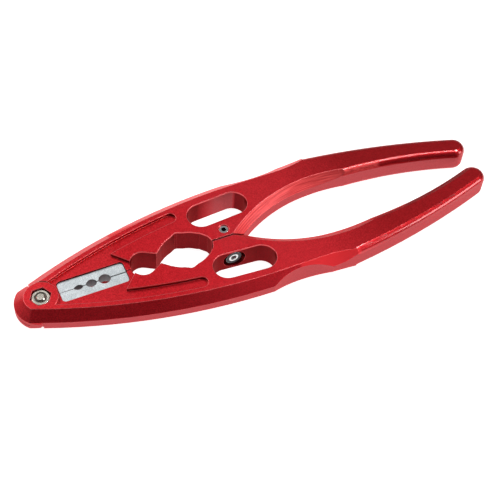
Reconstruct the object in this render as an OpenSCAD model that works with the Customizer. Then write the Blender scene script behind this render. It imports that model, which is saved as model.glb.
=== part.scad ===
// Two-arm clamping pliers milled from flat aluminium bar, pivoted at the nose.
// Row frame: X along the tool towards the handles, Y across the jaws, Z up.
// The origin is under the middle of the tool, on the plane it rests on.

/* [Body] */
// thickness of both arms
thick = 9; // [8:0.1:10]
// half width of the tool at its widest
half_width = 22.56; // [20:0.01:25]
// radius of the bowed outer edge
bow_r = 216; // [180:1:260]
// distance from the pivot to the widest place
bow_x = 76.3; // [70:0.1:82]
// radius of the nose round the pivot
nose_r = 8.64; // [8:0.01:9.5]
// half of the angle the arms rest apart
rest_half = 0.25; // [0.1:0.05:0.5]

/* [Chamfers] */
// width of the big outer chamfer
cham_w = 3.3; // [2:0.1:4]
// height of the big chamfers
cham_h = 3; // [2:0.1:3.5]
// radius of the path on which the outer chamfer runs out
cham_out_r = 44; // [20:1:80]
// where that path starts
cham_out_x = 90; // [85:0.5:98]
// radius of the rounded edges of the handles
round_r = 2.4; // [1:0.1:3]
// how far the middle of that rounding lies behind the wall and under the face
round_in = 2.37; // [1:0.01:3]

/* [Handles] */
// radius of the outer edge of a handle
out_r = 280; // [240:1:320]
// centre of that edge along the tool
out_x = 71.6; // [65:0.1:80]
// height of that edge above the axis at its centre
out_top = 23.7; // [23:0.1:24.5]
// radius of the inner edge of a handle
in_r = 155.6; // [130:0.1:170]
// radius of a handle's rounded end
tip_r = 4.1; // [3.8:0.1:4.5]
// how far the rounded end is turned about the middle of the outer edge
tip_turn = 17.45; // [17:0.01:18]
// where the rounded outer edge starts
round_out_x = 101.5; // [95:0.5:110]
// where the rounded inner edge starts
round_in_x = 110.5; // [108:0.1:118]

/* [Crotch] */
// radius of the curved wall behind the joint faces
crotch_r = 49.7; // [45:0.1:55]
// centre of that wall along the tool
crotch_x = 99.7; // [95:0.1:105]
// centre of that wall beyond the axis
crotch_y = 39.7; // [35:0.1:45]
// upper radius of the chamfer along the wall
crotch_cham_r = 55.05; // [50:0.05:60]
// centre of that chamfer along the tool
crotch_cham_x = 101.2; // [95:0.1:105]
// centre of that chamfer beyond the axis
crotch_cham_y = 42; // [38:0.1:46]
// radius of the tool that ends it
crotch_tool = 3.4; // [3.3:0.1:5]
// place of that tool along the pliers
crotch_tool_x = 111; // [108:0.1:114]

/* [Finger scallop] */
// centre of the shallow hollow in the outer edge
scallop_x = 81.6; // [78:0.1:86]
// depth of the hollow
scallop_d = 2.4; // [1:0.1:3]
// length of the hollow
scallop_len = 21; // [14:0.5:26]

/* [Slots] */
// width of the long through slot in each arm
slot_w = 9.66; // [8:0.01:11]
// front end of the slot's middle line, along the tool
slot_x1 = 59.16; // [55:0.01:62]
// distance of the front end from the axis
slot_y1 = 11.12; // [10:0.01:12]
// length of the slot's middle line
slot_run = 11.95; // [8:0.05:14]
// how far the slot is turned outwards
slot_turn = 4.22; // [3:0.01:6]

/* [Recessed faces] */
// depth of the shallow pocket in both faces
pocket_d = 1.2; // [0.8:0.1:2.5]
// width of the rim left along the outer edge
rim_w = 1.6; // [1:0.1:3]
// width of the groove between rim and raised part
groove_w = 4; // [3:0.1:5]
// where the groove ends
groove_x = 49.06; // [45:0.01:52]

/* [Ball cap grips] */
// radius of the small grip
grip1_r = 4.05; // [3.5:0.05:4.5]
// place of the small grip along the tool
grip1_x = 34.2; // [33:0.1:36]
// radius of the large grip
grip2_r = 9.9; // [9:0.1:11]
// place of the large grip along the tool
grip2_x = 49; // [47:0.1:51]

/* [Jaw inserts] */
// start of the inserts behind the pivot
insert_x = 6.15; // [6:0.05:7]
// length of an insert
insert_len = 22.25; // [20:0.05:24]
// width of one insert
insert_w = 3.95; // [3.5:0.05:5]
// thickness of an insert
insert_t = 3.85; // [3:0.05:4.5]
// depth of the inserts' faces below the arms' faces
insert_drop = 1.75; // [1:0.05:2.5]
// how far an insert stays back from the joint line
insert_back = 0.05; // [0:0.01:0.2]
// corner radius of an insert
insert_r = 1.3; // [0.5:0.1:2]
// clear space round an insert
insert_gap = 0.12; // [0.05:0.01:0.3]

/* [Pivot] */
// thread diameter of the pivot bolt
bolt_d = 3; // [2.5:0.5:4]
// nut size across flats
nut_af = 5.5; // [5:0.1:7]
// clear space round the nut in its recess, across flats
nut_gap = 0.6; // [0.2:0.1:1]
// radius of the pivot boss
boss_r = 5.6; // [5:0.1:6.5]
// clear space between boss and the other arm
boss_gap = 0.3; // [0.2:0.05:0.6]
// thickness of the friction washer
washer_t = 0.3; // [0.2:0.05:0.5]

/* [Stop screw] */
// place of the stop screw along the tool
stop_x = 63.7; // [60:0.1:66]
// diameter of the bore for its head
head_bore = 7.6; // [6:0.1:8]
// distance of the grub screw from the axis
grub_y = 3.14; // [2.5:0.01:4]

/* [Hidden] */
$fn = 96;
fine = 360;
mid = thick / 2;
layer = 0.2;
bow_y = half_width - bow_r;
out_y = out_top - out_r;
// how far a cutter reaches past the face it opens
past = 1;
slot_r = slot_w / 2;
insert_top = thick - insert_drop;
arm_end_x = -1.9;
nose_end_x = -2.4;
// radius of every M3 thread, and of the bores that turn on the pivot bolt
thread_r = bolt_d / 2;
pivot_bore_r = thread_r + 0.05;
// radius and depth of the recess for the pivot bolt's head
recess_r = 3.05;
recess_d = 2.3;
// height of the floor of the nut's recess
nut_floor = 6.25;
// radius of the spring's bore, and distance of the stop ledge from the axis
spring_bore_r = 2.9;
ledge_y = 2.3;
// distance of the insert screws from the axis
screw_y = 2.9;
scallop_r = (pow(scallop_len / 2, 2) + pow(scallop_d, 2)) / (2 * scallop_d);
// distances of the tip's and inner edge's middles from the outer edge's middle
tip_c = out_r - tip_r;
in_c = out_r - 2 * tip_r - in_r;
reach = out_x + tip_c * sin(tip_turn) + tip_r;
shift_x = (reach - nose_r) / 2;
red = [0.72, 0.08, 0.1];
steel = [0.78, 0.77, 0.74];
pale = [0.8, 0.83, 0.85];

// flat helpers -------------------------------------------------------------
module disc(x, y, r) {
  translate([x, y]) circle(r = r, $fn = (r > 30) ? fine : 96);
}

module slab(x0, x1, y0, y1) {
  translate([x0, y0]) square([x1 - x0, y1 - y0]);
}

// everything on the outer side of the joint line of the far arm
module joint_side() {
  rotate(rest_half) translate([-20, 0]) square([200, 60]);
}

// frame about the middle of a handle's outer edge, +Y towards its rounded end
module turned() {
  translate([out_x, out_y, 0]) rotate([0, 0, -tip_turn]) children();
}

// outline shared by both layers, far side
module outer_area() {
  intersection() {
    union() {
      disc(bow_x, bow_y, bow_r);
      slab(bow_x, 170, -40, half_width);
    }
    turned() disc(0, 0, out_r);
    union() {
      disc(0, 0, nose_r);
      slab(0, 170, -40, 40);
    }
  }
}

// space between the handles, far half; the two arcs cross before join_x
module handle_gap() {
  join_x = 97;
  intersection() {
    turned() disc(0, in_c, in_r);
    union() {
      disc(crotch_x, -crotch_y, crotch_r);
      slab(join_x, 175, -60, 40);
    }
  }
}

// the arm seen from above, without pockets
module arm_area() {
  difference() {
    intersection() {
      outer_area();
      joint_side();
      turned() slab(-260, 0, 0, 300);
    }
    handle_gap();
    disc(scallop_x, half_width - scallop_d + scallop_r, scallop_r);
  }
  turned() intersection() {
    disc(0, tip_c, tip_r);
    slab(0, 10, tip_c - 10, tip_c + 10);
  }
}

// the knuckle of the far arm: boss and the nose beyond it
module knuckle_area() {
  disc(0, 0, boss_r);
  intersection() {
    disc(0, 0, nose_r);
    slab(-20, nose_end_x, -6.2, 40);
  }
  intersection() {
    disc(0, 0, nose_r);
    slab(-20, 0, 0, 40);
    outer_area();
  }
}

// small and large grips, far half
module grip_area() {
  disc(grip1_x, 0.6, grip1_r);
  polygon([[grip1_x, -2], [39.7, -2], [39.7, 2.1],
           [grip1_x + grip1_r * sin(30), 0.6 + grip1_r * cos(30)]]);
  disc(grip2_x, -3, grip2_r);
  polygon([[39.6, -2], [39.7, 2.1], [42.4, 4.5], [45.9, 6.35],
           [48.1, 7.5], [48.9, 7.5], [50.9, 6.7],
           [55.8, 4.5], [57.8, 2.4], [59.2, -2]]);
}

module slot_area() {
  translate([slot_x1, slot_y1]) rotate(slot_turn) {
    disc(0, 0, slot_r);
    disc(slot_run, 0, slot_r);
    slab(0, slot_run, -slot_r, slot_r);
  }
}

// shallow recess round the inserts and along the rim
module pocket_area() {
  outer = bow_r - cham_w - rim_w;
  groove_y = bow_y + sqrt(pow(outer - groove_w / 2, 2)
             - pow(bow_x - groove_x, 2));
  difference() {
    intersection() {
      disc(bow_x, bow_y, outer);
      slab(-1.5, groove_x, -5, 30);
    }
    intersection() {
      disc(bow_x, bow_y, outer - groove_w);
      polygon([[30.6, 2.5], [24, 9.4], [24, 30], [70, 30], [70, -6], [30.6, -6]]);
    }
    disc(0, 0, boss_r);
  }
  disc(groove_x, groove_y, groove_w / 2);
}

// block with one side's corners rounded, seen from above
module insert_area(grow) {
  x0 = insert_x - grow;
  x1 = insert_x + insert_len + grow;
  y1 = insert_w + grow;
  difference() {
    union() {
      slab(x0, x1, -1, y1 - insert_r);
      slab(x0 + insert_r, x1 - insert_r, -1, y1);
      disc(x0 + insert_r, y1 - insert_r, insert_r);
      disc(x1 - insert_r, y1 - insert_r, insert_r);
    }
    rotate(rest_half) translate([-5, -5])
      square([60, 5 + ((grow > 0) ? 0 : insert_back)]);
  }
}

// places and radii of the three shaft holes
function hole_x(i) = [12.4, 16.7, 21.15][i];
function hole_r(i) = [1.95, 1.85, 2.12][i];
function hole_y(i) = [-1.05, -0.4, -0.32][i];
function screw_x(i) = insert_x + [3.1, insert_len - 2.6][i];

// solid cutters for the upper face ------------------------------------------
module bow_cutter() {
  intersection() {
    translate([bow_x, bow_y, 0]) rotate_extrude($fn = fine)
      polygon([[bow_r - cham_w, thick], [bow_r, thick - cham_h],
               [bow_r + 12, thick - cham_h], [bow_r + 12, thick + past],
               [bow_r - cham_w, thick + past]]);
    translate([-30, -30, 0]) cube([bow_x + 30, 80, 20]);
  }
  translate([bow_x, 0, 0]) rotate([90, 0, 90])
    linear_extrude(cham_out_x - bow_x)
      polygon([[half_width - cham_w, thick], [half_width, thick - cham_h],
               [half_width + 12, thick - cham_h], [half_width + 12, thick + past],
               [half_width - cham_w, thick + past]]);
  intersection() {
    translate([cham_out_x, half_width - cham_w + cham_out_r, thick - cham_h]) {
      cylinder(h = cham_h, r1 = cham_out_r - cham_w, r2 = cham_out_r, $fn = fine);
      translate([0, 0, cham_h]) cylinder(h = past, r = cham_out_r, $fn = fine);
    }
    translate([cham_out_x - 5, 0, 0]) cube([round_out_x - cham_out_x + 5, 40, 20]);
  }
}

module nose_cutter() {
  intersection() {
    rotate_extrude()
      polygon([[nose_r - cham_w, thick], [nose_r, thick - cham_h],
               [nose_r + 9, thick - cham_h], [nose_r + 9, thick + past],
               [nose_r - cham_w, thick + past]]);
    translate([-30, -30, 0]) cube([30, 60, 20]);
  }
}

module crotch_cutter() {
  tool_y = sqrt(pow(crotch_cham_r - crotch_tool, 2)
                - pow(crotch_tool_x - crotch_cham_x, 2)) - crotch_cham_y;
  intersection() {
    translate([crotch_cham_x, -crotch_cham_y, thick - cham_h]) {
      cylinder(h = cham_h, r1 = crotch_cham_r - cham_w, r2 = crotch_cham_r, $fn = fine);
      translate([0, 0, cham_h]) cylinder(h = past, r = crotch_cham_r, $fn = fine);
    }
    translate([60, -10, 0]) cube([crotch_tool_x - 60, 40, 20]);
  }
  translate([crotch_tool_x, tool_y, thick - cham_h]) {
    cylinder(h = cham_h, r1 = crotch_tool - cham_w, r2 = crotch_tool);
    translate([0, 0, cham_h]) cylinder(h = past, r = crotch_tool);
  }
}

// what a rounded edge leaves off; way is 1 for material inside the radius
module edge_cutter(y, r, way) {
  side = round_in + 2;
  translate([0, y, 0]) rotate_extrude($fn = fine) difference() {
    translate([(way > 0) ? r - round_in : r - 2, thick - round_in]) square([side, side]);
    translate([r - way * round_in, thick - round_in]) circle(r = round_r, $fn = 48);
  }
}

// the outer and inner edges from where they start, and the rounded end
module handle_cutter() {
  intersection() {
    turned() intersection() {
      edge_cutter(0, out_r, 1);
      translate([-90, 200, mid]) cube([90, 100, 10]);
    }
    translate([round_out_x, 0, 0]) cube([80, 60, 20]);
  }
  intersection() {
    turned() intersection() {
      edge_cutter(in_c, in_r, -1);
      translate([-90, 200, mid]) cube([90, 100, 10]);
    }
    translate([round_in_x, -20, 0]) cube([80, 60, 20]);
  }
  turned() intersection() {
    edge_cutter(tip_c, tip_r, 1);
    translate([0, 200, mid]) cube([60, 100, 10]);
  }
}

module face_cutters() {
  bow_cutter();
  nose_cutter();
  crotch_cutter();
  handle_cutter();
  translate([0, 0, thick - pocket_d]) linear_extrude(pocket_d + past) pocket_area();
}

// the same cutters on the lower face
module both_faces() {
  face_cutters();
  translate([0, 0, thick]) mirror([0, 0, 1]) face_cutters();
}

// one arm as milled, far side; its knuckle is the lower layer ---------------
module plain_arm() {
  difference() {
    union() {
      linear_extrude(mid - layer) {
        arm_area();
        knuckle_area();
      }
      translate([0, 0, mid - layer]) linear_extrude(mid + layer) difference() {
        arm_area();
        disc(0, 0, boss_r + boss_gap);
        slab(-20, arm_end_x, -20, 40);
      }
    }
    both_faces();
    translate([0, 0, -past]) linear_extrude(thick + 2 * past) {
      slot_area();
      grip_area();
    }
    translate([0, 0, -past]) cylinder(h = thick, r = pivot_bore_r);
  }
}

// hollow for the insert, its shaft holes and the two screws from below
module insert_seat(top) {
  seat = top - insert_t;
  translate([0, 0, seat]) linear_extrude(20) insert_area(insert_gap);
  for (i = [0:2]) {
    translate([hole_x(i), hole_y(i), -past]) cylinder(h = seat + 2 * past, r = hole_r(i) + 0.6);
  }
  for (i = [0:1]) {
    translate([screw_x(i), screw_y, -past]) cylinder(h = seat + 2 * past, r = 0.85);
    translate([screw_x(i), screw_y, pocket_d - past]) cylinder(h = past, r = 1.65);
    translate([screw_x(i), screw_y, pocket_d]) cylinder(h = 0.8, r1 = 1.65, r2 = 0.85);
  }
}

// nodes ----------------------------------------------------------------------
module far_arm() {
  color(red) translate([-shift_x, 0, 0]) difference() {
    plain_arm();
    insert_seat(insert_top);
    translate([0, 0, -past]) cylinder(h = past + recess_d, r = recess_r);
    translate([stop_x, -1, mid]) rotate([-90, 0, 0]) cylinder(h = 9, r = thread_r);
    translate([stop_x, -1, mid]) rotate([-90, 0, 0]) cylinder(h = 2.4, r = spring_bore_r);
    translate([stop_x + 0.2, grub_y, mid]) cylinder(h = 10, r = thread_r);
    translate([stop_x + 0.2, grub_y, thick - 0.3]) cylinder(h = 0.6, r1 = thread_r, r2 = thread_r + 0.6);
  }
}

module near_arm() {
  color(red) translate([-shift_x, 0, 0]) difference() {
    translate([0, 0, thick]) rotate([180, 0, 0]) plain_arm();
    mirror([0, 1, 0]) insert_seat(insert_top);
    translate([0, 0, nut_floor]) cylinder(h = 9, r = (nut_af + nut_gap) / sqrt(3), $fn = 6);
    translate([stop_x, -7.9, mid]) rotate([-90, 0, 0]) cylinder(h = 9, r = 1.85);
    translate([stop_x, -9, mid]) rotate([-90, 0, 0]) cylinder(h = 9 - ledge_y, r = head_bore / 2);
    translate([stop_x, -0.9, mid]) rotate([-90, 0, 0]) cylinder(h = 3, r = spring_bore_r);
  }
}

// one insert of the far side
module insert_block() {
  difference() {
    translate([0, 0, insert_top - insert_t]) linear_extrude(insert_t) insert_area(0);
    for (i = [0:2]) {
      translate([hole_x(i), hole_y(i), 0]) cylinder(h = 20, r = hole_r(i));
    }
    for (i = [0:1]) {
      translate([screw_x(i), screw_y, 0]) cylinder(h = insert_top - 1.2, r = 0.8);
    }
  }
}

module far_insert() {
  color(pale) translate([-shift_x, 0, 0]) insert_block();
}

module near_insert() {
  color(pale) translate([-shift_x, 0, 0]) mirror([0, 1, 0]) insert_block();
}

// countersunk screw standing head down on z = 0
module insert_screw() {
  difference() {
    union() {
      cylinder(h = 0.75, r1 = 1.6, r2 = 0.8);
      cylinder(h = 3.4, r = 0.8);
    }
    translate([0, 0, -0.1]) cylinder(h = 0.65, r = 0.55, $fn = 6);
  }
}

module far_insert_screws() {
  color(steel) translate([-shift_x, 0, 0]) for (i = [0:1]) {
    translate([screw_x(i), screw_y, pocket_d + 0.02]) insert_screw();
  }
}

module near_insert_screws() {
  color(steel) translate([-shift_x, 0, 0]) for (i = [0:1]) {
    translate([screw_x(i), -screw_y, pocket_d + 0.02]) insert_screw();
  }
}

module pivot_bolt() {
  color(steel) translate([-shift_x, 0, 0]) difference() {
    union() {
      translate([0, 0, 0.25]) cylinder(h = 2, r = 2.75);
      translate([0, 0, 1]) cylinder(h = 7.55, r = bolt_d / 2);
      translate([0, 0, 8.55]) cylinder(h = 0.3, r1 = bolt_d / 2, r2 = 1.2);
    }
    translate([0, 0, -0.1]) cylinder(h = 1.6, r = 2 / sqrt(3), $fn = 6);
  }
}

module pivot_nut() {
  color(steel) translate([-shift_x, 0, 0]) difference() {
    intersection() {
      translate([0, 0, 6.3]) cylinder(h = 2.3, r = nut_af / sqrt(3), $fn = 6);
      union() {
        translate([0, 0, 6.3]) cylinder(h = 1.75, r = 3.4);
        translate([0, 0, 8.05]) cylinder(h = 0.4, r1 = 3.3, r2 = 2.75);
      }
    }
    translate([0, 0, 6]) cylinder(h = 4, r = bolt_d / 2);
    translate([0, 0, 7.7]) cylinder(h = 2, r = 2.05);
  }
}

module nut_lock_ring() {
  color([0.7, 0.7, 0.66]) translate([-shift_x, 0, 0]) difference() {
    translate([0, 0, 7.7]) cylinder(h = 0.45, r = 2.05);
    translate([0, 0, 7]) cylinder(h = 4, r = bolt_d / 2);
  }
}

module friction_washer() {
  color(steel) translate([-shift_x, 0, mid - washer_t / 2]) difference() {
    cylinder(h = washer_t, r = 4.6);
    translate([0, 0, -past]) cylinder(h = 3, r = pivot_bore_r);
  }
}

// low-head screw: thread in the far arm, head in the near arm's bore
module stop_screw() {
  color(steel) translate([stop_x - shift_x, -6.0, mid]) rotate([-90, 0, 0])
    difference() {
      union() {
        cylinder(h = 1.5, r = 2.75);
        cylinder(h = 11.8, r = bolt_d / 2);
      }
      translate([0, 0, -0.1]) cylinder(h = 1.0, r = 2 / sqrt(3), $fn = 6);
    }
}

module grub_screw() {
  color(steel) translate([stop_x + 0.2 - shift_x, grub_y, mid + 1.55]) difference() {
    union() {
      cylinder(h = 0.35, r1 = 1.1, r2 = 1.5);
      translate([0, 0, 0.35]) cylinder(h = 2.25, r = 1.5);
    }
    translate([0, 0, 1.3]) cylinder(h = 2, r = 1.5 / sqrt(3), $fn = 6);
  }
}

// three-turn compression spring round the stop screw
module opening_spring() {
  wire = 0.4;
  ring_r = 2.25;
  len = 2.1;
  color([0.6, 0.6, 0.6]) translate([stop_x - shift_x, -0.75, mid]) rotate([-90, 0, 0])
    for (i = [0:2]) {
      translate([0, 0, wire / 2 + i * (len - wire) / 2]) rotate_extrude()
        translate([ring_r, 0]) circle(r = wire / 2, $fn = 24);
    }
}

near_arm();
far_arm();
near_insert();
far_insert();
near_insert_screws();
far_insert_screws();
pivot_bolt();
pivot_nut();
nut_lock_ring();
friction_washer();
stop_screw();
grub_screw();
opening_spring();
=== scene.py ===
import math

import bmesh
import bpy
from mathutils import Matrix, Vector


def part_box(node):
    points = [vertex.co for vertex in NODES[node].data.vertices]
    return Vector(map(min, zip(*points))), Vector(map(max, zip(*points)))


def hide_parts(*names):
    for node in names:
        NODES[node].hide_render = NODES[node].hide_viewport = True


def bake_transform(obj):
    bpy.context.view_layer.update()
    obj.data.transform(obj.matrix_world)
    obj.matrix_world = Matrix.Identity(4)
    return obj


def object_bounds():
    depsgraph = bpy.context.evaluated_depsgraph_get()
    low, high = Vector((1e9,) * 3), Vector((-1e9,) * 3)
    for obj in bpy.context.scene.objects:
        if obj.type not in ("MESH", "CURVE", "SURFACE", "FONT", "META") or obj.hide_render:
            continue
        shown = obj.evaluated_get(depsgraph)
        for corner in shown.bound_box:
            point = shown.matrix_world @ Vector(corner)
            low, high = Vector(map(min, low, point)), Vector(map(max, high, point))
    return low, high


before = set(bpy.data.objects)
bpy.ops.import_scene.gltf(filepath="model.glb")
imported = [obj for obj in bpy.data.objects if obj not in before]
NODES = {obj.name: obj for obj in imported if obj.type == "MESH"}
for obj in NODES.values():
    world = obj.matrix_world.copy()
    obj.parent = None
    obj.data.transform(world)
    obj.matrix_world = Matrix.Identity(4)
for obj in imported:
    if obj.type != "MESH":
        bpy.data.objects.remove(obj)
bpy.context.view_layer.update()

# ---------------------------------------------------------------- places
MM = 0.001


def middle(node):
    low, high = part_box(node)
    return (Vector(low) + Vector(high)) / 2


PIVOT = middle("pivot_bolt")
STOP = middle("stop_screw")
ARM_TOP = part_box("far_arm")[1][2]
# centre of the curved crotch wall, from the pivot along the tool and from its axis
CROTCH_ALONG = 101.2 * MM
CROTCH_ACROSS = 42 * MM

# ---------------------------------------------------------------- camera
CAMERA_FROM_PIVOT = Vector((-36.40, -203.86, 300.11)) * MM
CAMERA_RIGHT = Vector((0.9114, -0.4083, 0.0519))
CAMERA_BACK = Vector((-0.2807, -0.5244, 0.8039))
CAMERA_LENS = 82.37


def make_camera():
    """The photograph's camera, placed from the pivot at the height of the upper face."""
    data = bpy.data.cameras.new("camera")
    data.lens = CAMERA_LENS
    data.sensor_width = 36
    data.clip_start = 0.01
    data.clip_end = 20
    camera = bpy.data.objects.new("camera", data)
    bpy.context.scene.collection.objects.link(camera)
    back = CAMERA_BACK.normalized()
    right = (CAMERA_RIGHT - back * CAMERA_RIGHT.dot(back)).normalized()
    up = back.cross(right)
    turn = Matrix((right, up, back)).transposed().to_4x4()
    place = Vector((PIVOT.x, PIVOT.y, ARM_TOP)) + CAMERA_FROM_PIVOT
    camera.matrix_world = Matrix.Translation(place) @ turn
    bpy.context.scene.camera = camera


# ---------------------------------------------------------------- studio
WORLD_STRENGTH = 0.4
# place on the ramp, colour
WORLD_RAMP = (0.3, (0.1, 0.1, 0.11, 1)), (0.9, (1, 1, 1, 1))
# how much the room darkens along +X for each step it brightens along +Y
WORLD_SLANT = -0.6
FLOOR_HALF_WIDTH = 3
FLOOR_GAP = 0.02 * MM
FLOOR_GLOW = 0.97
# name: place, point it faces, width and height (all m), watts
SOFTBOXES = {
    "back_softbox": ((-0.31, 0.62, 0.80), (-0.03, 0, 0), (0.5, 0.5), 3.1),
    "top_softbox": ((0.42, -0.07, 0.85), (0.04, 0, 0), (0.26, 0.12), 3.5),
    "side_softbox": ((0.75, -0.52, 0.42), (0.02, 0, 0), (0.4, 0.35), 3.0),
}


def softbox(name, place, target, size, watts):
    data = bpy.data.lights.new(name, "AREA")
    data.shape = "RECTANGLE"
    data.size, data.size_y = size
    data.energy = watts
    light = bpy.data.objects.new(name, data)
    bpy.context.scene.collection.objects.link(light)
    light.location = place
    aim = Vector(target) - Vector(place)
    light.rotation_euler = aim.to_track_quat("-Z", "Y").to_euler()


def make_world():
    """A soft grey room, dark towards the camera and towards the handles."""
    world = bpy.data.worlds.new("studio")
    bpy.context.scene.world = world
    world.use_nodes = True
    tree = world.node_tree
    sky = tree.nodes["Background"]
    coords = tree.nodes.new("ShaderNodeTexCoord")
    split = tree.nodes.new("ShaderNodeSeparateXYZ")
    ramp = tree.nodes.new("ShaderNodeValToRGB")
    spread = tree.nodes.new("ShaderNodeMapRange")
    spread.inputs["From Min"].default_value = -1
    spread.inputs["From Max"].default_value = 1
    tree.links.new(coords.outputs["Generated"], split.inputs[0])
    aside = tree.nodes.new("ShaderNodeMath")
    aside.operation = "MULTIPLY_ADD"
    aside.inputs[1].default_value = WORLD_SLANT
    tree.links.new(split.outputs["X"], aside.inputs[0])
    tree.links.new(split.outputs["Y"], aside.inputs[2])
    tree.links.new(aside.outputs[0], spread.inputs["Value"])
    tree.links.new(spread.outputs["Result"], ramp.inputs[0])
    for element, (place, colour) in zip(ramp.color_ramp.elements, WORLD_RAMP):
        element.position = place
        element.color = colour
    tree.links.new(ramp.outputs["Color"], sky.inputs["Color"])
    sky.inputs["Strength"].default_value = WORLD_STRENGTH


def make_floor():
    """A plain floor, just under the lowest point, that glows so that it looks white."""
    mesh = bpy.data.meshes.new("floor")
    build = bmesh.new()
    bmesh.ops.create_grid(build, x_segments=1, y_segments=1, size=FLOOR_HALF_WIDTH)
    build.to_mesh(mesh)
    build.free()
    floor = bpy.data.objects.new("floor", mesh)
    floor.location.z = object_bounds()[0][2] - FLOOR_GAP
    bpy.context.scene.collection.objects.link(floor)
    material = bpy.data.materials.new("pale_floor")
    material.use_nodes = True
    shader = material.node_tree.nodes["Principled BSDF"]
    shader.inputs["Base Color"].default_value = (0.6, 0.6, 0.6, 1)
    shader.inputs["Roughness"].default_value = 0.9
    shader.inputs["Emission Color"].default_value = (1, 1, 1, 1)
    shader.inputs["Emission Strength"].default_value = FLOOR_GLOW
    mesh.materials.append(material)


def make_studio():
    make_world()
    make_floor()
    for name, settings in SOFTBOXES.items():
        softbox(name, *settings)
    view = bpy.context.scene.view_settings
    view.view_transform = "Standard"


# ---------------------------------------------------------------- materials
class Nodes:
    """One material's node tree, with short calls for what is used here."""

    def __init__(self, name):
        self.material = bpy.data.materials.new(name)
        self.material.use_nodes = True
        self.tree = self.material.node_tree
        self.shader = self.tree.nodes["Principled BSDF"]
        coords = self.tree.nodes.new("ShaderNodeTexCoord")
        self.place = coords.outputs["Object"]
        geometry = self.tree.nodes.new("ShaderNodeNewGeometry")
        self.normal = geometry.outputs["True Normal"]

    def add(self, kind, values=(), **settings):
        node = self.tree.nodes.new(kind)
        for key, value in settings.items():
            setattr(node, key, value)
        for key, value in dict(values).items():
            if isinstance(value, bpy.types.NodeSocket):
                self.tree.links.new(value, node.inputs[key])
            else:
                node.inputs[key].default_value = value
        return node

    def noise(self, size_mm, detail=2.0, rough=0.5, at=None):
        """Noise with cells about size_mm wide."""
        values = {"Vector": at or self.place, "Scale": 1 / (size_mm * MM),
                  "Detail": detail, "Roughness": rough}
        return self.add("ShaderNodeTexNoise", values).outputs[0]

    def span(self, value, low, high, to_low=0.0, to_high=1.0):
        """to_low at low and to_high at high, held beyond them; low may be the larger."""
        values = {"Value": value, "From Min": low, "From Max": high,
                  "To Min": to_low, "To Max": to_high}
        return self.add("ShaderNodeMapRange", values).outputs[0]

    def math(self, operation, a, b=0.0):
        return self.add("ShaderNodeMath", {0: a, 1: b}, operation=operation).outputs[0]

    def times(self, *factors):
        product = factors[0]
        for factor in factors[1:]:
            product = self.math("MULTIPLY", product, factor)
        return product

    def above(self, value, limit_mm, soft_mm=1.0):
        return self.span(value, (limit_mm - soft_mm) * MM, limit_mm * MM)

    def below(self, value, limit_mm, soft_mm=1.0):
        return self.span(value, (limit_mm + soft_mm) * MM, limit_mm * MM)

    def between(self, value, low_mm, high_mm, soft_mm=1.0):
        """1 where value lies from low_mm to high_mm, with soft borders."""
        return self.times(self.above(value, low_mm, soft_mm), self.below(value, high_mm, soft_mm))

    def mix(self, factor, a, b):
        node = self.add("ShaderNodeMix", data_type="RGBA")
        for index, value in ((0, factor), (6, a), (7, b)):
            if isinstance(value, bpy.types.NodeSocket):
                self.tree.links.new(value, node.inputs[index])
            else:
                node.inputs[index].default_value = value
        return node.outputs[2]

    def bump(self, height, distance_mm, strength=1.0, normal=None):
        values = {"Height": height, "Distance": distance_mm * MM, "Strength": strength}
        if normal:
            values["Normal"] = normal
        return self.add("ShaderNodeBump", values).outputs[0]

    def put(self, **values):
        for key, value in values.items():
            socket = self.shader.inputs[key.replace("_", " ")]
            if isinstance(value, bpy.types.NodeSocket):
                self.tree.links.new(value, socket)
            else:
                socket.default_value = value

    def edge(self, width_mm):
        """The shading normal rounded over an edge, and 1 on the edge itself."""
        round_node = self.add("ShaderNodeBevel", {"Radius": width_mm * MM}, samples=6)
        rounded = round_node.outputs[0]
        same = self.add("ShaderNodeVectorMath", {0: rounded, 1: self.normal},
                        operation="DOT_PRODUCT").outputs["Value"]
        return rounded, self.span(same, 0.995, 0.9)

    def slope(self):
        """1 on the sloping chamfers only, and how level each face is, from 0 to 1."""
        parts = self.add("ShaderNodeSeparateXYZ", {0: self.normal})
        level = self.math("ABSOLUTE", parts.outputs["Z"])
        return self.times(self.span(level, 0.25, 0.45), self.span(level, 0.97, 0.9)), level


def rgb(red, green, blue):
    return (red, green, blue, 1)


# colours of the anodised arms, with painted light, shade, reflections and highlights among them
RED_DEEP, RED_CLEAR = rgb(0.42, 0.006, 0.010), rgb(0.50, 0.009, 0.014)
RED_SPECK = rgb(0.84, 0.028, 0.04)
# painted light: a lighter red over the middle of the tool
RED_MIDDLE_PAINTED_LIGHT = rgb(0.92, 0.035, 0.05)
# painted shade: a darker red that grows towards the handles
RED_HANDLE_PAINTED_SHADE = rgb(0.30, 0.002, 0.004)
# brushed cutter lines on the crotch chamfers; their light red is also a painted highlight
RED_BRUSHED_AND_SHEEN = rgb(0.52, 0.03, 0.035), rgb(0.95, 0.12, 0.12)
# painted reflection: a paler, pinker red on the outer walls, standing in for the floor reflected
# in them
RED_OUTER_WALL_REFLECTION = rgb(0.36, 0.045, 0.052), rgb(0.45, 0.065, 0.072)
# painted shade: a dark red on the walls of the grips, slots and small bores
RED_HOLLOW_WALL_SHADE = rgb(0.13, 0.003, 0.006), rgb(0.22, 0.006, 0.010)
# painted highlight: a bright band at the top of the walls
RED_WALL_TOP_HIGHLIGHT = rgb(0.95, 0.12, 0.13)
# painted highlights: a brighter red along every edge, and a paler one along the rims
RED_EDGE_HIGHLIGHT = rgb(0.98, 0.16, 0.17)
RED_RIM_HIGHLIGHT = rgb(1.0, 0.34, 0.35)
# painted light: a bright red on the end of the outer chamfer
RED_RUN_OUT_LIT = rgb(0.95, 0.05, 0.06)

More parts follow.
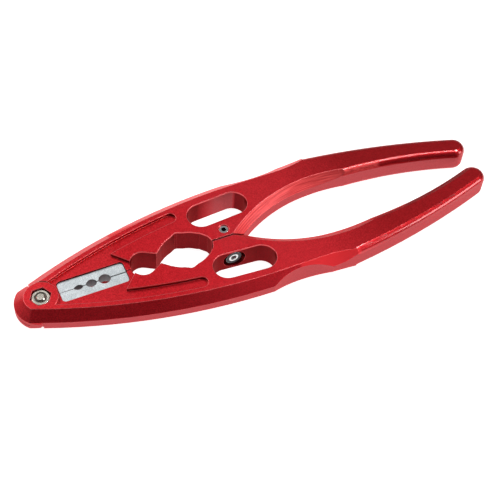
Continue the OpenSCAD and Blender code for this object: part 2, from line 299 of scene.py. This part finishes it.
# borders of an arm's regions in mm, from the pivot along the tool and from its axis
BORES_ALONG, BORES_ASIDE = (7, 28), 4
GRIPS_ALONG, GRIPS_ASIDE = (28, 60), 16
SLOTS_ALONG, SLOTS_ASIDE = (60, 76), (6, 16)
CROTCH_FACES_ALONG, CROTCH_FACES_ASIDE = (67, 125), 14.5
RUN_OUT_ALONG, RUN_OUT_ASIDE = (82, 102), 15
# where the painted light in the middle fades, and where the painted shade on the handles grows
MIDDLE_ALONG, MIDDLE_FADE = (60, 84), 30
HANDLE_FADE_ALONG = 92, 118
ROUNDED_FROM = 102


class ArmPlaces:
    """How far a point of an arm is along, aside and up, and masks from 0 to 1 for its regions."""

    def __init__(self, n):
        where = n.add("ShaderNodeSeparateXYZ", {0: n.place})
        self.height = where.outputs["Z"]
        self.along = n.math("SUBTRACT", where.outputs["X"], PIVOT.x)
        self.aside = n.math("ABSOLUTE", where.outputs["Y"])
        self.slope, level = n.slope()
        self.wall = n.span(level, 0.3, 0.1)
        # the band just under the upper face, where highlights are painted on walls and rims
        self.near_top = n.span(self.height, ARM_TOP - 0.6 * MM, ARM_TOP - 0.4 * MM)
        self.hollow = self.hollows(n)
        crotch = n.times(n.between(self.along, *CROTCH_FACES_ALONG),
                         n.below(self.aside, CROTCH_FACES_ASIDE))
        self.brushed = n.times(self.slope, crotch)
        curved = n.times(n.span(level, 0.1, 0.3), n.span(level, 0.998, 0.985))
        self.rounding = n.times(curved, n.above(self.along, ROUNDED_FROM),
                                n.math("SUBTRACT", 1.0, self.brushed))
        # the end of the outer chamfer, which is painted lighter
        self.run_out = n.times(n.between(self.along, *RUN_OUT_ALONG),
                               n.above(self.aside, RUN_OUT_ASIDE), self.slope)

    def hollows(self, n):
        """1 around the cap grips, the slots and the small bores at the nose, whose walls get
        painted shade.
        """
        grips = n.times(n.between(self.along, *GRIPS_ALONG, 0.5), n.below(self.aside, GRIPS_ASIDE))
        slots = n.times(n.between(self.along, *SLOTS_ALONG, 0.5),
                        n.between(self.aside, *SLOTS_ASIDE, 0.5))
        bores = n.times(n.between(self.along, *BORES_ALONG, 0.5),
                        n.below(self.aside, BORES_ASIDE, 0.3))
        return n.math("MAXIMUM", n.math("MAXIMUM", grips, slots), bores)


def cutter_lines(n, p):
    """Fine lines that follow the curved wall of the crotch, as a cutter leaves them."""
    ahead = n.math("SUBTRACT", p.along, CROTCH_ALONG)
    across = n.math("ADD", p.aside, CROTCH_ACROSS)
    radius = n.math("SQRT", n.math("ADD", n.times(ahead, ahead), n.times(across, across)))
    swept = n.add("ShaderNodeCombineXYZ", {0: radius, 1: n.times(p.along, 0.03), 2: p.height})
    return n.noise(0.28, 4, at=swept.outputs[0])


def red_colour(n, p, speck, lines, edge_highlight, rim_highlight):
    """The blasted red, then over it each region in turn, several of them painted light or shade,
    and painted highlights on the edges near the end.
    """
    outside = n.times(p.wall, n.math("SUBTRACT", 1.0, p.hollow))
    base = n.mix(n.span(n.noise(14, 3), 0.3, 0.7), RED_DEEP, RED_CLEAR)
    base = n.mix(speck, base, RED_SPECK)
    # painted light over the middle of the tool, then painted shade towards the handles
    painted_light_middle = n.between(p.along, *MIDDLE_ALONG, MIDDLE_FADE)
    base = n.mix(n.times(painted_light_middle, 0.4), base, RED_MIDDLE_PAINTED_LIGHT)
    fade_from, fade_to = HANDLE_FADE_ALONG
    base = n.mix(n.span(p.along, fade_from * MM, fade_to * MM, 0, 0.6), base, RED_HANDLE_PAINTED_SHADE)
    # the brushed crotch chamfers: real cutter lines, lightened as a painted highlight
    base = n.mix(p.brushed, base, n.mix(lines, *RED_BRUSHED_AND_SHEEN))
    # painted reflection of the floor on the outer walls
    base = n.mix(outside, base, n.mix(speck, *RED_OUTER_WALL_REFLECTION))
    # painted shade on the walls in the hollows
    base = n.mix(n.times(p.wall, p.hollow), base, n.mix(speck, *RED_HOLLOW_WALL_SHADE))
    # painted highlight along the top of the walls
    base = n.mix(n.times(p.near_top, p.wall), base, RED_WALL_TOP_HIGHLIGHT)
    # painted highlight along the edges, brighter still on the rims
    base = n.mix(n.times(edge_highlight, 0.7), base, RED_EDGE_HIGHLIGHT)
    base = n.mix(n.times(rim_highlight, 0.7), base, RED_RIM_HIGHLIGHT)
    # painted light on the end of the outer chamfer
    return n.mix(n.times(p.run_out, 0.8), base, RED_RUN_OUT_LIT)


def red_roughness(n, p, grain, lines):
    rough = n.span(grain, 0.2, 0.8, 0.38, 0.52)
    for extra in (n.times(p.run_out, 0.2), n.times(p.brushed, 0.1),
                  n.times(p.wall, n.span(lines, 0, 1, -0.08, 0.05))):
        rough = n.math("ADD", rough, extra)
    return rough


def red_coat(n, p, rim_highlight):
    """A thin gloss, full on the rounded handle edges and on the rims' edges, which also get a
    painted highlight.
    """
    coat = n.times(n.span(p.wall, 0, 1, 0.42, 0.22), n.span(p.hollow, 0, 1, 1, 0.25),
                   n.span(p.brushed, 0, 1, 1, 0.3))
    return n.math("MAXIMUM", coat, n.math("MAXIMUM", p.rounding, rim_highlight))


def anodised():
    """Bead-blasted red on the faces, brushed red on the chamfers by the crotch, lightened there as
    a painted highlight; regions also get painted light, shade and highlights.
    """
    n = Nodes("anodised_red")
    p = ArmPlaces(n)
    grain = n.noise(0.42, 4, rough=0.7)
    streak = cutter_lines(n, p)
    lines = n.span(streak, 0.3, 0.7)
    # the edge mask carries a painted highlight into the colour
    rounded, edge_highlight = n.edge(0.3)
    rim_highlight = n.times(edge_highlight, p.near_top)
    relief = n.bump(grain, 0.014, n.span(p.rounding, 0, 1, 0.7, 0.08), rounded)
    relief = n.bump(n.times(streak, p.slope), 0.02, 0.5, relief)
    n.put(Base_Color=red_colour(n, p, n.span(grain, 0.35, 0.68), lines, edge_highlight, rim_highlight))
    n.put(Roughness=red_roughness(n, p, grain, lines), Normal=relief, Metallic=0.9)
    n.put(Coat_Weight=red_coat(n, p, rim_highlight), Coat_Roughness=0.14, Coat_IOR=1.5)
    n.put(Specular_Tint=rgb(1, 0.3, 0.3))
    return n.material


def core_mask(n, centre, axis, radius_mm):
    """1 within radius_mm of a line through centre along axis."""
    parts = n.add("ShaderNodeSeparateXYZ", {0: n.place})
    square = 0.0
    for name, at in zip("XYZ", centre):
        if name != axis:
            away = n.math("SUBTRACT", parts.outputs[name], at)
            square = n.math("ADD", n.times(away, away), square)
    distance = n.math("SQRT", square)
    return n.span(distance, (radius_mm + 0.05) * MM, radius_mm * MM)


def steel(name, colour, light, rough, grain_mm, bump_mm, metallic=1.0, edge=None, core=None,
          wall=None):
    """Mottled from colour to light; edges take a painted highlight, and core and wall take colours
    of their own, which paint shade or a glint where given.
    """
    n = Nodes(name)
    grain = n.noise(grain_mm, 3)
    cloud = n.noise(3, 2)
    mottle = n.times(grain, n.span(cloud, 0.2, 0.8, 0.7, 1.2))
    rounded, edge_highlight = n.edge(0.1)
    base = n.mix(n.span(mottle, 0.25, 0.75), colour, light)
    if wall:
        base = n.mix(n.span(n.slope()[1], 0.3, 0.1), base, wall)
    # painted highlight: edges take the edge colour, or the light one
    base = n.mix(edge_highlight, base, edge or light)
    if core:
        base = n.mix(core_mask(n, *core[:3]), base, core[3])
    n.put(Base_Color=base, Metallic=metallic)
    n.put(Roughness=n.span(grain, 0.2, 0.8, rough - 0.06, rough + 0.08))
    n.put(Normal=n.bump(grain, bump_mm, 0.6, rounded))
    return n.material


def give(node, material):
    for slot in NODES[node].material_slots:
        slot.material = material
    if not NODES[node].material_slots:
        NODES[node].data.materials.append(material)


def dress():
    """Give every CAD node its material, and return the spring's."""
    red = anodised()
    # painted shade: the insert's walls and hole walls are darker than its faces
    pale = steel("blasted_insert", rgb(0.48, 0.53, 0.55), rgb(0.90, 0.95, 0.97), 0.5, 0.4, 0.035,
                 wall=rgb(0.2, 0.21, 0.22))
    nickel = steel("nickel", rgb(0.45, 0.42, 0.36), rgb(0.68, 0.64, 0.56), 0.22, 1.5, 0.006)
    silver = steel("bright_screw", rgb(0.62, 0.62, 0.62), rgb(0.8, 0.8, 0.8), 0.22, 0.5, 0.005)
    # painted shade: the stop screw is near-black for the shade in its deep bore, with painted
    # glints: a silver core and silver edges
    dark = steel("stop_screw_painted_shade", rgb(0.03, 0.03, 0.032), rgb(0.07, 0.07, 0.07), 0.3, 0.5, 0.005,
                 edge=rgb(0.8, 0.8, 0.8), core=(STOP, "Y", 1.6, rgb(0.75, 0.75, 0.75)))
    # painted shade: the hex socket in the set screw is painted black
    socket = steel("set_screw", rgb(0.62, 0.62, 0.62), rgb(0.85, 0.85, 0.85), 0.22, 0.5, 0.005,
                   core=(middle("grub_screw"), "Z", 0.8, rgb(0.01, 0.01, 0.01)))
    nylon = steel("nylon", rgb(0.12, 0.11, 0.09), rgb(0.2, 0.19, 0.16), 0.5, 0.5, 0.01, 0.0)
    wire = steel("spring_wire", rgb(0.35, 0.35, 0.36), rgb(0.5, 0.5, 0.5), 0.3, 0.4, 0.005)
    wearing = {
        "near_arm": red, "far_arm": red,
        "near_insert": pale, "far_insert": pale,
        "near_insert_screws": silver, "far_insert_screws": silver,
        "pivot_bolt": nickel, "pivot_nut": nickel, "friction_washer": nickel,
        "stop_screw": dark, "grub_screw": socket,
        "nut_lock_ring": nylon, "opening_spring": wire,
    }
    for node, material in wearing.items():
        give(node, material)
    return wire


# ---------------------------------------------------------------- spring
STEPS_PER_TURN = 32
WIRE_SIDES = 12
WIRE_R = 0.2 * MM
SPRING_TURNS = 3


def coil(name, middle_at, length, ring_r, wire_r, turns):
    """A round-wire helix along Y, its length centred on middle_at, ends closed."""
    steps, sides = STEPS_PER_TURN * turns, WIRE_SIDES
    build = bmesh.new()
    rings = []
    for i in range(steps + 1):
        angle = math.tau * turns * i / steps
        out = Vector((math.cos(angle), 0, math.sin(angle)))
        place = middle_at + out * ring_r
        place.y += (i / steps - 0.5) * (length - 2 * wire_r)
        ring = []
        for k in range(sides):
            turn = math.tau * k / sides
            ring.append(build.verts.new(place + out * wire_r * math.cos(turn)
                                        + Vector((0, wire_r * math.sin(turn), 0))))
        rings.append(ring)
    for a, b in zip(rings, rings[1:]):
        for k in range(sides):
            build.faces.new((a[k], a[k - 1], b[k - 1], b[k]))
    build.faces.new(rings[0])
    build.faces.new(rings[-1][::-1])
    bmesh.ops.recalc_face_normals(build, faces=build.faces)
    for face in build.faces:
        face.smooth = len(face.verts) == 4
    mesh = bpy.data.meshes.new(name)
    build.to_mesh(mesh)
    build.free()
    piece = bpy.data.objects.new(name, mesh)
    bpy.context.scene.collection.objects.link(piece)
    return piece


def wind_spring(wire):
    """A real coil in place of the CAD's three rings, stretched between the two arms."""
    low, high = (Vector(corner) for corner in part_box("opening_spring"))
    at = (low + high) / 2
    ring_r = (high.x - low.x) / 2 - WIRE_R
    spring = coil("opening_coil", at, high.y - low.y, ring_r, WIRE_R, SPRING_TURNS)
    spring.data.materials.append(wire)
    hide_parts("opening_spring")
    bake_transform(spring)


make_camera()
make_studio()
wind_spring(dress())
